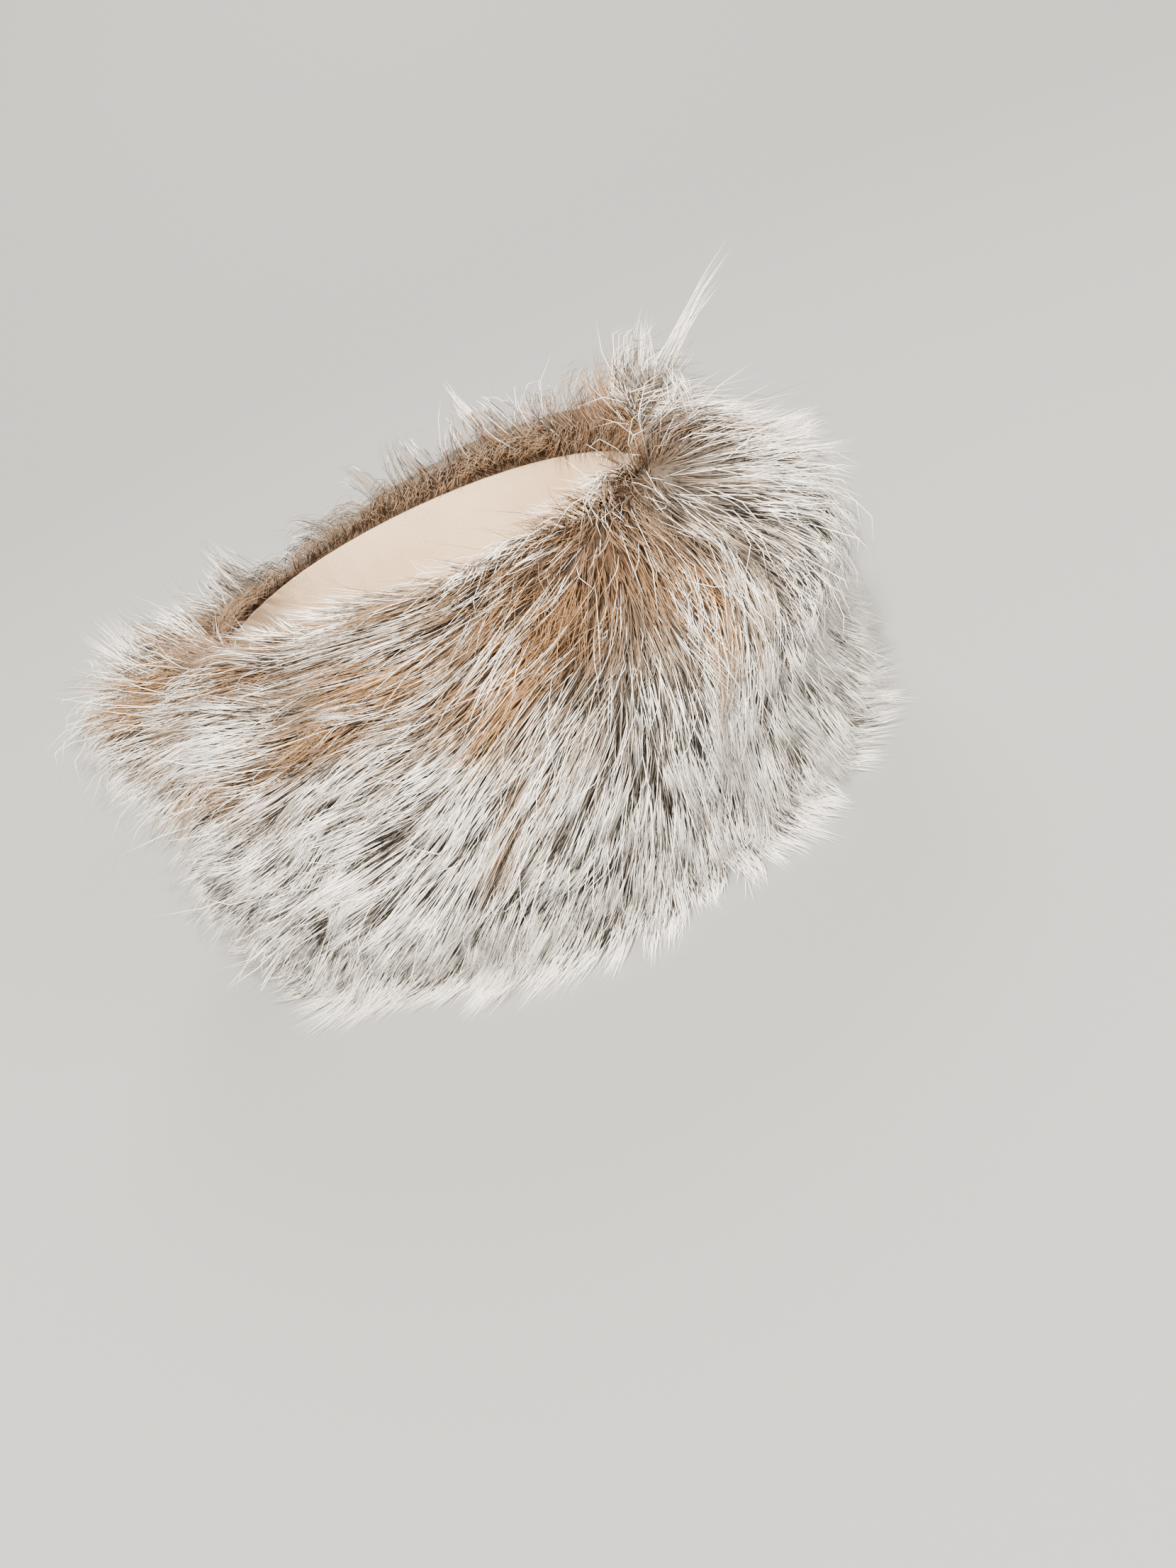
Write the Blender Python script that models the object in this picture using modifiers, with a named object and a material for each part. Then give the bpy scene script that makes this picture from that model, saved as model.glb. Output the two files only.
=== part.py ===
"""Deep fur headband: a hide ring with its fur coat in fused locks. Metres, +Z up."""

import math
from collections import namedtuple

import bmesh
import bpy
from mathutils import Vector

# Driving sizes
OPENING_LENGTH = 0.182  # inside the hide, along X
OPENING_DEPTH = 0.166  # inside the hide, along Y
HIDE_WALL = 0.002
HIDE_HEIGHT = 0.088
HIDE_LIFT = 0.028  # the hide's lower edge above the surface that the fur rests on
FUR_DEPTH = 0.070  # how far the pelt stands out from the hide
FUR_RISE = 0.030  # how far the crest stands above the hide
REST_INSET = 0.020  # from the hide's inner face to the pressed underside
LOCK_LENGTH = 0.062
LOCK_WIDTH = 0.028
LOCK_THICKNESS = 0.011
LOCK_LIFT = 0.007  # how far a lock's tip stands off the coat
WISP_LENGTH = 0.060
WISP_WIDTH = 0.010
WISP_ROOT = 0.005  # how far a stray lock starts inside the coat
TOUCH_GAP = 0.0003

RING_STATIONS = 48
CURVE_STEPS = 2  # points in each stretch of a section's curve
LOCKS_ROUND = 15
MERGE = 0.00001

HIDE_TOP = HIDE_LIFT + HIDE_HEIGHT
HIDE_OUTSIDE = HIDE_WALL + TOUCH_GAP

# Sections of the coat round the head opening. The angle is in degrees from +X. The crest is a
# share of FUR_RISE and the three reaches are shares of FUR_DEPTH. The level raises the section's
# bulge by that factor. The two lays are in degrees from straight down the coat, with a plus sign
# turning towards a greater angle.
Section = namedtuple("Section", "angle crest upper middle lower level top_lay low_lay")
SECTIONS = (
    Section(-180, 0.45, 0.86, 0.62, 0.78, 1.24, -45, -30),
    Section(-150, 0.60, 0.62, 0.76, 0.74, 1.13, -75, -50),
    Section(-120, 0.72, 0.70, 0.90, 0.58, 1.04, -88, -50),
    Section(-90, 0.82, 0.82, 0.84, 0.62, 1.00, -82, -30),
    Section(-60, 0.78, 0.95, 0.74, 0.70, 1.04, -42, -18),
    Section(-30, 0.74, 0.98, 0.66, 0.74, 1.10, 10, 0),
    Section(0, 1.05, 0.66, 0.74, 0.88, 1.05, 30, 10),
    Section(30, 0.82, 0.66, 0.78, 0.90, 1.00, 25, 10),
    Section(60, 0.80, 0.68, 0.80, 0.88, 1.00, 20, 8),
    Section(90, 0.60, 0.66, 0.80, 0.84, 1.02, 12, 4),
    Section(120, 0.22, 0.62, 0.76, 0.80, 1.08, 0, 0),
    Section(150, 0.30, 0.76, 0.68, 0.78, 1.16, -25, -15),
)

# Outer face of a section from the hide's top edge to the floor: which reach it takes and the
# share of it, then its height as shares of FUR_RISE times the crest, and of the hide's top. A
# bulge of 1 follows the section's level, and one of 0 doesn't.
Knot = namedtuple("Knot", "reach share rise height bulge")
OUTER_KNOTS = (
    Knot("upper", 0.08, 0.80, 1.00, 0),
    Knot("upper", 0.26, 1.00, 1.00, 0),
    Knot("upper", 0.60, 0.35, 1.00, 0),
    Knot("upper", 0.90, 0.00, 0.85, 1),
    Knot("upper", 1.00, 0.00, 0.68, 1),
    Knot("middle", 1.00, 0.00, 0.42, 1),
    Knot("lower", 1.00, 0.00, 0.18, 0),
    Knot("lower", 0.90, 0.00, 0.05, 0),
    Knot("lower", 0.76, 0.00, 0.00, 0),
)

# Rows of locks: the share of the way down the outer face, the shares of the lock's length and
# width, and the share of one lock's spacing that the row starts at.
LockRow = namedtuple("LockRow", "down length width start")
LOCK_ROWS = (
    LockRow(0.10, 0.80, 0.80, 0.00),
    LockRow(0.22, 1.00, 0.95, 0.50),
    LockRow(0.34, 1.10, 1.00, 0.15),
    LockRow(0.46, 1.00, 1.00, 0.65),
    LockRow(0.57, 0.95, 1.00, 0.30),
    LockRow(0.67, 0.75, 0.95, 0.80),
    LockRow(0.77, 0.42, 0.85, 0.35),
)

# One lock from root to tip: how far along, and shares of its width, thickness and lift.
LockStation = namedtuple("LockStation", "along width thickness lift")
LOCK_FORM = (
    LockStation(0.00, 0.55, 0.60, -0.50),
    LockStation(0.30, 1.00, 1.00, -0.20),
    LockStation(0.68, 0.74, 0.80, 0.30),
    LockStation(1.00, 0.10, 0.16, 1.00),
)
LOCK_SIDES = 5
LOWEST_SHARE = 0.87  # of the way down the coat, where the last locks end clear of the floor

# Locks that fill the parting, where the rows to its two sides turn away from each other: the
# angle and share down of the root, the share of LOCK_LENGTH, and the lay.
PartingLock = namedtuple("PartingLock", "angle down length lay")
PARTING_LOCKS = (
    PartingLock(-62, 0.18, 0.80, -60),
    PartingLock(-72, 0.26, 0.90, -66),
    PartingLock(-60, 0.30, 0.90, -38),
    PartingLock(-74, 0.38, 0.90, -52),
    PartingLock(-58, 0.42, 0.80, -22),
    PartingLock(-70, 0.50, 0.85, -34),
)

# Long stray locks: angle and share down of the root, shares of WISP_LENGTH and WISP_WIDTH, and
# the direction of the tip from the root.
Wisp = namedtuple("Wisp", "angle down length width towards")
WISPS = (
    Wisp(-4, 0.24, 1.00, 1.0, (0.80, 0.10, 0.58)),
    Wisp(10, 0.24, 0.45, 1.3, (0.35, 0.20, 0.90)),
    Wisp(-22, 0.24, 0.40, 1.3, (0.20, -0.30, 0.90)),
    Wisp(-9, 0.42, 0.45, 1.7, (1.00, -0.05, -0.15)),
)


def oval_point(angle, offset, height):
    """A point at this offset outside the head opening's oval."""
    half_x = OPENING_LENGTH / 2
    half_y = OPENING_DEPTH / 2
    turn = math.radians(angle)
    normal = Vector((math.cos(turn) / half_x, math.sin(turn) / half_y)).normalized()
    x = half_x * math.cos(turn) + offset * normal.x
    y = half_y * math.sin(turn) + offset * normal.y
    return Vector((x, y, height))


def section_at(angle):
    """The coat's section at any angle, eased between the two rows beside it."""
    angle = (angle + 180) % 360 - 180
    rows = SECTIONS + (SECTIONS[0]._replace(angle=SECTIONS[0].angle + 360),)
    for before, after in zip(rows, rows[1:]):
        if before.angle <= angle <= after.angle:
            share = (angle - before.angle) / (after.angle - before.angle)
            eased = share * share * (3 - 2 * share)
            values = [a + (b - a) * eased for a, b in zip(before, after)]
            return Section(*values)
    return rows[0]


def outer_knots(section):
    """The section's outer face as (offset, height), from the hide's top edge to the floor."""
    knots = [(HIDE_OUTSIDE, HIDE_TOP)]
    for knot in OUTER_KNOTS:
        reach = getattr(section, knot.reach)
        offset = HIDE_OUTSIDE + knot.share * reach * FUR_DEPTH
        level = section.level if knot.bulge else 1.0
        height = knot.height * level * HIDE_TOP + knot.rise * section.crest * FUR_RISE
        knots.append((offset, height))
    return knots


def curve_through(knots, share):
    """A point on a smooth curve through the knots, with share 0 at the first and 1 at the last."""
    last = len(knots) - 1
    place = min(max(share, 0.0), 1.0) * last
    index = min(int(place), last - 1)
    u = place - index
    a = knots[max(index - 1, 0)]
    b = knots[index]
    c = knots[index + 1]
    d = knots[min(index + 2, last)]
    found = []
    for p, q, r, s in zip(a, b, c, d):
        slope = (r - p) * u
        bend = (2 * p - 5 * q + 4 * r - s) * u * u
        turn = (3 * q - p - 3 * r + s) * u * u * u
        found.append(q + (slope + bend + turn) / 2)
    return found


def coat_point(angle, share):
    offset, height = curve_through(outer_knots(section_at(angle)), share)
    return oval_point(angle, offset, height)


def coat_frame(angle, share):
    """The point with its directions: round the head, down the coat and out of it."""
    here = coat_point(angle, share)
    around = coat_point(angle + 1, share) - coat_point(angle - 1, share)
    down = coat_point(angle, share + 0.01) - coat_point(angle, share - 0.01)
    out = down.cross(around).normalized()
    return here, around, down, out


def loft(mesh, rings, closed=False):
    """Faces between rings of equal count, with both ends capped unless the rings close up."""
    loops = [[mesh.verts.new(point) for point in ring] for ring in rings]
    pairs = list(zip(loops, loops[1:]))
    if closed:
        pairs.append((loops[-1], loops[0]))
    for first, second in pairs:
        for i in range(len(first)):
            j = (i + 1) % len(first)
            mesh.faces.new((first[i], first[j], second[j], second[i]))
    if not closed:
        mesh.faces.new(loops[0])
        mesh.faces.new(reversed(loops[-1]))
    return mesh


def coat_ring(angle):
    """One whole section of the coat: outer face, pressed underside, then the face on the hide."""
    section = section_at(angle)
    knots = outer_knots(section)
    count = (len(knots) - 1) * CURVE_STEPS
    profile = [curve_through(knots, i / count) for i in range(count + 1)]
    profile.append((REST_INSET, 0.0))
    profile.append(((REST_INSET + HIDE_OUTSIDE) / 2, 0.35 * HIDE_LIFT))
    profile.append((HIDE_OUTSIDE, HIDE_LIFT))
    return [oval_point(angle, offset, height) for offset, height in profile]


def lock_rings(angle, down_share, length, width, lay_angle):
    """Sections of one lock that follows the coat and lifts off it towards its tip."""
    rings = []
    travelled = 0.0
    share = down_share
    for station in LOCK_FORM:
        ahead = (station.along - travelled) * length
        travelled = station.along
        here, around, down, out = coat_frame(angle, share)
        lay = math.radians(lay_angle)
        angle += ahead * math.sin(lay) / (around.length / 2)
        share += ahead * math.cos(lay) / (down.length / 0.02)
        share = min(max(share, 0.02), LOWEST_SHARE)
        here, around, down, out = coat_frame(angle, share)
        heading = down.normalized() * math.cos(lay) + around.normalized() * math.sin(lay)
        side = heading.cross(out).normalized()
        centre = here + out * (station.lift * LOCK_LIFT)
        half_width = station.width * width / 2
        half_thick = station.thickness * LOCK_THICKNESS / 2
        rings.append(lock_ring(centre, side * half_width, out * half_thick))
    return rings


def lock_ring(centre, half_side, half_out):
    ring = []
    for i in range(LOCK_SIDES):
        turn = 2 * math.pi * (i / LOCK_SIDES + 0.25)
        ring.append(centre + half_side * math.cos(turn) + half_out * math.sin(turn))
    return ring


def wisp_rings(wisp):
    """Sections of one straight stray lock, from inside the coat to its tip."""
    here, around, down, out = coat_frame(wisp.angle, wisp.down)
    towards = Vector(wisp.towards).normalized()
    side = towards.cross(around).normalized()
    front = towards.cross(side)
    length = wisp.length * WISP_LENGTH + WISP_ROOT
    half_width = wisp.width * WISP_WIDTH / 2
    root = here - towards * WISP_ROOT
    rings = []
    for station in LOCK_FORM:
        centre = root + towards * (station.along * length)
        half = station.width * half_width
        rings.append(lock_ring(centre, side * half, front * half))
    return rings


def new_object(name, mesh, collection):
    data = bpy.data.meshes.new(name)
    bmesh.ops.recalc_face_normals(mesh, faces=mesh.faces)
    bmesh.ops.triangulate(mesh, faces=mesh.faces)
    mesh.to_mesh(data)
    mesh.free()
    made = bpy.data.objects.new(name, data)
    collection.objects.link(made)
    return made


def build_hide(collection):
    """The tanned skin side of the pelt strip, as a plain oval ring."""
    mesh = bmesh.new()
    circle = bmesh.ops.create_circle(mesh, segments=RING_STATIONS, radius=1.0)
    for vertex in circle["verts"]:
        turn = math.degrees(math.atan2(vertex.co.y, vertex.co.x))
        vertex.co = oval_point(turn, 0.0, HIDE_LIFT)
    wall = bmesh.ops.extrude_edge_only(mesh, edges=mesh.edges[:])
    raised = [v for v in wall["geom"] if isinstance(v, bmesh.types.BMVert)]
    bmesh.ops.translate(mesh, verts=raised, vec=(0, 0, HIDE_HEIGHT))
    hide = new_object("hide_band", mesh, collection)
    solid = hide.modifiers.new("wall", "SOLIDIFY")
    solid.thickness = HIDE_WALL
    solid.offset = 1.0
    solid.use_even_offset = True
    return hide


def build_locks(collection):
    mesh = bmesh.new()
    for row in LOCK_ROWS:
        for i in range(LOCKS_ROUND):
            angle = (i + row.start) * 360 / LOCKS_ROUND - 180
            section = section_at(angle)
            lay = section.top_lay + (section.low_lay - section.top_lay) * row.down
            rings = lock_rings(angle, row.down, row.length * LOCK_LENGTH, row.width * LOCK_WIDTH, lay)
            loft(mesh, rings)
    for lock in PARTING_LOCKS:
        loft(mesh, lock_rings(lock.angle, lock.down, lock.length * LOCK_LENGTH, LOCK_WIDTH, lock.lay))
    for wisp in WISPS:
        loft(mesh, wisp_rings(wisp))
    locks = new_object("fur_locks", mesh, collection)
    locks.display_type = "WIRE"
    return locks


def keep_outer_shell(mesh):
    """Removes the small closed pockets that the union may leave between locks."""
    left = set(mesh.faces)
    shells = []
    while left:
        waiting = [left.pop()]
        shell = []
        while waiting:
            face = waiting.pop()
            shell.append(face)
            beside = {other for edge in face.edges for other in edge.link_faces} & left
            left -= beside
            waiting.extend(beside)
        shells.append(shell)
    shells.sort(key=len)
    pockets = [face for shell in shells[:-1] for face in shell]
    bmesh.ops.delete(mesh, geom=pockets, context="FACES")


def build_coat(collection, helpers):
    mesh = bmesh.new()
    rings = [coat_ring(360 * i / RING_STATIONS) for i in range(RING_STATIONS)]
    loft(mesh, rings, closed=True)
    coat = new_object("fur_coat", mesh, collection)
    union = coat.modifiers.new("locks", "BOOLEAN")
    union.operation = "UNION"
    union.solver = "EXACT"
    union.use_self = True
    union.object = build_locks(helpers)
    bpy.context.view_layer.update()
    graph = bpy.context.evaluated_depsgraph_get()
    joined = bpy.data.meshes.new_from_object(coat.evaluated_get(graph))
    coat.modifiers.clear()
    mesh = bmesh.new()
    mesh.from_mesh(joined)
    bmesh.ops.remove_doubles(mesh, verts=mesh.verts, dist=MERGE)
    keep_outer_shell(mesh)
    bmesh.ops.triangulate(mesh, faces=mesh.faces)
    mesh.to_mesh(coat.data)
    mesh.free()
    coat.data.shade_smooth()
    return coat


def centre_in_plan(widest, pieces):
    """Moves the pieces so that the widest one's bounding box is centred on the Z axis."""
    xs = [vertex.co.x for vertex in widest.data.vertices]
    ys = [vertex.co.y for vertex in widest.data.vertices]
    for piece in pieces:
        piece.location = (-(min(xs) + max(xs)) / 2, -(min(ys) + max(ys)) / 2, 0.0)


def set_material(made, name, colour, roughness):
    material = bpy.data.materials.new(name)
    material.use_nodes = True
    shader = material.node_tree.nodes["Principled BSDF"]
    shader.inputs["Base Color"].default_value = (*colour, 1.0)
    shader.inputs["Roughness"].default_value = roughness
    shader.inputs["Metallic"].default_value = 0.0
    made.data.materials.clear()
    made.data.materials.append(material)


def clear_scene():
    for old in list(bpy.data.objects):
        bpy.data.objects.remove(old, do_unlink=True)


def main():
    clear_scene()
    scene = bpy.context.scene
    scene.unit_settings.system = "METRIC"
    scene.unit_settings.scale_length = 1.0
    headband = bpy.data.collections.new("fur_headband")
    helpers = bpy.data.collections.new("helpers")
    scene.collection.children.link(headband)
    scene.collection.children.link(helpers)
    hide = build_hide(headband)
    coat = build_coat(headband, helpers)
    centre_in_plan(coat, (hide, coat))
    helpers.hide_render = True
    for helper in helpers.objects:
        helper.hide_render = True
    set_material(hide, "tanned_hide", (0.56, 0.40, 0.26), 0.9)
    set_material(coat, "coyote_fur", (0.45, 0.38, 0.31), 0.95)


main()
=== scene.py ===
import math

import bmesh
import bpy
import numpy as np
from mathutils import Matrix, Vector


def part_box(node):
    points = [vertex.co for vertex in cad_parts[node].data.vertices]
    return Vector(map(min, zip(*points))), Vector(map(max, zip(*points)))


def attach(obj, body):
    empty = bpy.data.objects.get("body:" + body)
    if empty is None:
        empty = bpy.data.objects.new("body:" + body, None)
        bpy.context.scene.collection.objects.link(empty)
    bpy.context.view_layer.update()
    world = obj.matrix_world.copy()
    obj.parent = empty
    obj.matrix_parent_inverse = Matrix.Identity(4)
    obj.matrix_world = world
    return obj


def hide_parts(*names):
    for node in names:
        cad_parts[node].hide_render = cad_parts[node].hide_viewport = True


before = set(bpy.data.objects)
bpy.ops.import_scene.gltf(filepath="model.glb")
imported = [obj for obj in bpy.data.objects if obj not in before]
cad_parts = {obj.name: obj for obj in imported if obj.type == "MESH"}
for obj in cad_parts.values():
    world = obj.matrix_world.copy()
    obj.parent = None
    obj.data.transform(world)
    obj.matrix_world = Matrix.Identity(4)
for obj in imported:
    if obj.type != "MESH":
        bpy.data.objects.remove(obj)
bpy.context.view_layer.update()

hideLow, hideHigh = [Vector(corner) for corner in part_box("hide_band")]
middle = (hideLow + hideHigh) / 2
halfX = (hideHigh.x - hideLow.x) / 2
halfY = (hideHigh.y - hideLow.y) / 2
hideTop = hideHigh.z
hideLift = hideLow.z

# The coat's form, measured from the hide's outer face. Shares of the way down its outer face run
# from 0 at the hide's top edge to 1 at the surface that the headband stands on.
coatShape = {
    "depth": 0.070,  # how far the pelt stands out from the hide
    "rise": 0.030,  # how far the crest stands above the hide
    "lowest": 0.0012,  # nothing soft hangs lower than this
    "lowestTip": 0.006,  # tips that reach the floor end at chance heights up to this
    "lastShare": 0.92,  # where hair that runs down the coat starts to hang free
    "ridgeShare": 0.20,  # where hair that runs up the coat starts to stand free
    "hang": (0.45, -0.75),  # out and up, for each metre of hair that hangs free
    "stand": (0.25, 0.90),  # the same for hair that stands free
}

# Angle from +X, crest as a share of the rise, three reaches as shares of the depth, level of the
# bulge, and the lay of the hair at the top and low down, in degrees from straight down
coatSections = (
    (-180, 0.45, 0.86, 0.62, 0.78, 1.24, -45, -30),
    (-150, 0.60, 0.62, 0.76, 0.74, 1.13, -75, -50),
    (-120, 0.72, 0.70, 0.90, 0.58, 1.04, -88, -50),
    (-90, 0.82, 0.82, 0.84, 0.62, 1.00, -82, -30),
    (-60, 0.78, 0.95, 0.74, 0.70, 1.04, -42, -18),
    (-30, 0.74, 0.98, 0.66, 0.74, 1.10, 10, 0),
    (0, 1.05, 0.66, 0.74, 0.88, 1.05, 30, 10),
    (30, 0.82, 0.66, 0.78, 0.90, 1.00, 25, 10),
    (60, 0.80, 0.68, 0.80, 0.88, 1.00, 20, 8),
    (90, 0.60, 0.66, 0.80, 0.84, 1.02, 12, 4),
    (120, 0.22, 0.62, 0.76, 0.80, 1.08, 0, 0),
    (150, 0.30, 0.76, 0.68, 0.78, 1.16, -25, -15),
)

# Reach used (0 upper, 1 middle, 2 lower), share of it, share of the rise, share of the hide's
# top, and 1 where the knot follows the level of the bulge
outerKnots = (
    (0, 0.08, 0.80, 1.00, 0),
    (0, 0.26, 1.00, 1.00, 0),
    (0, 0.60, 0.35, 1.00, 0),
    (0, 0.90, 0.00, 0.85, 1),
    (0, 1.00, 0.00, 0.68, 1),
    (1, 1.00, 0.00, 0.42, 1),
    (2, 1.00, 0.00, 0.18, 0),
    (2, 0.90, 0.00, 0.05, 0),
    (2, 0.76, 0.00, 0.00, 0),
)

# Places that the hair turns away from: angle, share down, half width in degrees, half height in
# share, how strongly, and how much of it goes sideways
hairPartings = (
    (-40, 0.23, 24, 0.13, 0.84, 0.60),
    (-6, 0.25, 22, 0.24, 0.66, 0.80),
)

# Ripple in the partings' edges: height in share, and ripples round the coat
partingRipple = (0.02, 17)

# Waves in the lay of the hair: height in radians, waves round the coat, and radians of wave from
# its top to its bottom
layWaves = (
    (0.16, 13, 9),
    (0.12, 29, -17),
)

# Where the hair stands further out: angle, share down, half width in degrees, half height in
# share, and the extra height of the tips in metres
fluffPlaces = (
    (-170, 0.30, 34, 0.26, 0.010),
    (95, 0.14, 75, 0.13, 0.018),
    (-2, 0.19, 34, 0.11, 0.012),
    (-24, 0.50, 16, 0.20, 0.003),
)

# Where the rim's wool leans in over the opening: angle, half width in degrees, and how much
rimPlaces = (
    (168, 42, 1.0),
    (60, 50, 0.35),
    (-100, 60, 0.30),
)
rimRise = 0.7  # how far it goes up, for each metre that it leans in
levelShare = 0.6  # share down the coat where its face looks straight out

# Tone of the pelt: its own at the top, how much greyer it is low down, where that starts and over
# what share, and the tone, share and cover of the rim
peltTone = {
    "top": 0.30,
    "greyer": 0.65,
    "greyFrom": 0.22,
    "greyOver": 0.36,
    "rimTone": 0.26,
    "rimEnd": 0.03,
    "rimFade": 0.07,
    "rimBare": 0.70,
}

# Patches of the pelt: angle, share down, half width in degrees, half height in share, tone (0
# tan, 1 grey) and how much of the guard hair is left there
peltPatches = (
    (-60, 0.27, 13, 0.09, 0.20, 0.10),
    (-74, 0.31, 11, 0.07, 0.14, 0.22),
    (-84, 0.38, 9, 0.06, 0.00, 0.20),
    (-55, 0.38, 8, 0.06, 0.04, 0.35),
    (-96, 0.31, 8, 0.035, 0.00, 0.45),
    (-110, 0.36, 8, 0.035, 0.00, 0.40),
    (-121, 0.41, 7, 0.03, 0.06, 0.45),
    (-134, 0.47, 8, 0.035, 0.04, 0.40),
    (-86, 0.51, 5, 0.045, 0.02, 0.50),
    (-92, 0.59, 4, 0.035, 0.06, 0.65),
    (-152, 0.33, 9, 0.06, 0.00, 0.40),
    (-141, 0.43, 8, 0.05, 0.00, 0.40),
    (-56, 0.17, 15, 0.07, 0.20, 0.20),
    (-52, 0.57, 9, 0.05, 1.00, 0.45),
    (-42, 0.49, 8, 0.05, 1.00, 0.50),
    (4, 0.10, 14, 0.06, 0.10, 0.80),
    (-168, 0.26, 20, 0.12, 0.22, 0.62),
    (170, 0.12, 8, 0.05, 0.04, 0.55),
    (-162, 0.20, 6, 0.05, 0.06, 0.50),
    (-172, 0.28, 5, 0.04, 0.04, 0.50),
    (-168, 0.36, 7, 0.05, 0.10, 0.50),
    (95, 0.17, 60, 0.06, 0.80, 1.10),
    (-128, 0.25, 9, 0.05, 0.16, 0.50),
    (-34, 0.34, 11, 0.08, 1.00, 0.30),
    (-47, 0.20, 8, 0.05, 0.25, 0.40),
    (-2, 0.22, 14, 0.06, 0.55, 0.70),
    (26, 0.16, 10, 0.06, 0.04, 0.60),
    (22, 0.50, 9, 0.05, 0.08, 0.65),
    (58, 0.42, 11, 0.05, 0.05, 0.60),
    (96, 0.52, 10, 0.05, 0.08, 0.65),
    (130, 0.44, 9, 0.05, 0.05, 0.60),
    (166, 0.56, 8, 0.05, 0.08, 0.65),
)


def sectionValues(angle):
    # The columns of coatSections at these angles, eased between the rows
    rows = np.array(coatSections + ((180,) + coatSections[0][1:],), float)
    turned = (np.asarray(angle, float) + 180) % 360 - 180
    place = (turned + 180) / 30
    index = np.clip(place.astype(int), 0, len(rows) - 2)
    share = place - index
    eased = (share * share * (3 - 2 * share))[:, None]
    return rows[index, 1:] * (1 - eased) + rows[index + 1, 1:] * eased


def ovalPoints(angle, offset, height):
    turn = np.radians(angle)
    normal = np.stack([np.cos(turn) / halfX, np.sin(turn) / halfY], 1)
    normal /= np.linalg.norm(normal, axis=1)[:, None]
    x = middle.x + halfX * np.cos(turn) + offset * normal[:, 0]
    y = middle.y + halfY * np.sin(turn) + offset * normal[:, 1]
    return np.stack([x, y, height], 1)


def outerProfile(angle, share):
    # Offset and height of the coat's outer face, a smooth curve through the section's knots
    values = sectionValues(angle)
    reaches = values[:, 1:4]
    offsets = [np.zeros(len(values))]
    heights = [np.full(len(values), hideTop)]
    for reach, part, rise, level, bulge in outerKnots:
        raised = values[:, 4] if bulge else 1.0
        offsets.append(part * reaches[:, reach] * coatShape["depth"])
        heights.append(level * raised * hideTop + rise * values[:, 0] * coatShape["rise"])
    knots = np.stack([np.stack(offsets, 1), np.stack(heights, 1)], 2)
    last = knots.shape[1] - 1
    place = np.clip(share, 0, 1) * last
    index = np.minimum(place.astype(int), last - 1)
    u = (place - index)[:, None]
    row = np.arange(len(knots))
    before = knots[row, np.maximum(index - 1, 0)]
    start = knots[row, index]
    end = knots[row, index + 1]
    after = knots[row, np.minimum(index + 2, last)]
    square = (2 * before - 5 * start + 4 * end - after) * u**2
    cube = (3 * start - before - 3 * end + after) * u**3
    found = start + 0.5 * ((end - before) * u + (square + cube))
    return found[:, 0], found[:, 1]


def coatPoints(angle, share, depth=1.0):
    # Points part of the way out from the hide to the coat's outer face
    offset, height = outerProfile(angle, share)
    skin = hideTop - np.clip(share, 0, 1) * (hideTop - hideLift)
    return ovalPoints(angle, offset * depth, skin + (height - skin) * depth)


def unit(vectors):
    return vectors / np.maximum(np.linalg.norm(vectors, axis=1), 1e-9)[:, None]


def coatFrame(angle, share):
    # Change for each degree round, change for each share down, and the direction out
    around = (coatPoints(angle + 1, share) - coatPoints(angle - 1, share)) / 2
    low = np.clip(share - 0.01, 0, 1)
    high = np.clip(share + 0.01, 0, 1)
    down = (coatPoints(angle, high) - coatPoints(angle, low)) / (high - low)[:, None]
    return around, down, unit(np.cross(down, around))


def turnedBack(angle):
    return (angle + 180) % 360 - 180


def hairFlow(angle, share, perDegree, perShare):
    # Which way hair lies: how much of it round the coat and how much down
    values = sectionValues(angle)
    lay = np.radians(values[:, 5] + (values[:, 6] - values[:, 5]) * np.clip(share, 0, 1))
    turn = np.radians(angle)
    rippleHeight, ripples = partingRipple
    for height, wavesRound, radiansDown in layWaves:
        lay = lay + height * np.sin(turn * wavesRound + share * radiansDown)
    flow = np.stack([np.sin(lay), np.cos(lay)], 1)
    for partAngle, partShare, wide, tall, strength, sideways in hairPartings:
        across = turnedBack(angle - partAngle)
        below = share - partShare + rippleHeight * np.sin(turn * ripples)
        near = strength * np.exp(-((across / wide) ** 2) - (below / tall) ** 2)[:, None]
        away = unit(np.stack([sideways * across * perDegree, below * perShare], 1))
        flow = flow * (1 - near) + away * near
    return unit(flow)


def traceHair(angle, share, length, steps=6):
    # Follows the hair's lay over the coat, and returns its stations halfway and at the tip
    angle = angle.copy()
    share = share.copy()
    hanging = np.zeros(len(angle))
    standing = np.zeros(len(angle))
    stations = []
    for step in range(1, steps + 1):
        around, down, out = coatFrame(angle, share)
        perDegree = np.linalg.norm(around, axis=1)
        perShare = np.linalg.norm(down, axis=1)
        flow = hairFlow(angle, share, perDegree, perShare)
        angle = angle + length / steps * flow[:, 0] / perDegree
        moved = share + length / steps * flow[:, 1] / perShare
        past = np.maximum(moved - coatShape["lastShare"], 0)
        hanging = hanging + past * perShare
        free = np.maximum(np.minimum(share, coatShape["ridgeShare"]) - moved, 0)
        standing = standing + free * perShare
        share = moved - past + free
        if step in (steps // 2, steps):
            stations.append((angle.copy(), share.copy(), hanging.copy(), standing.copy()))
    return stations


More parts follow.
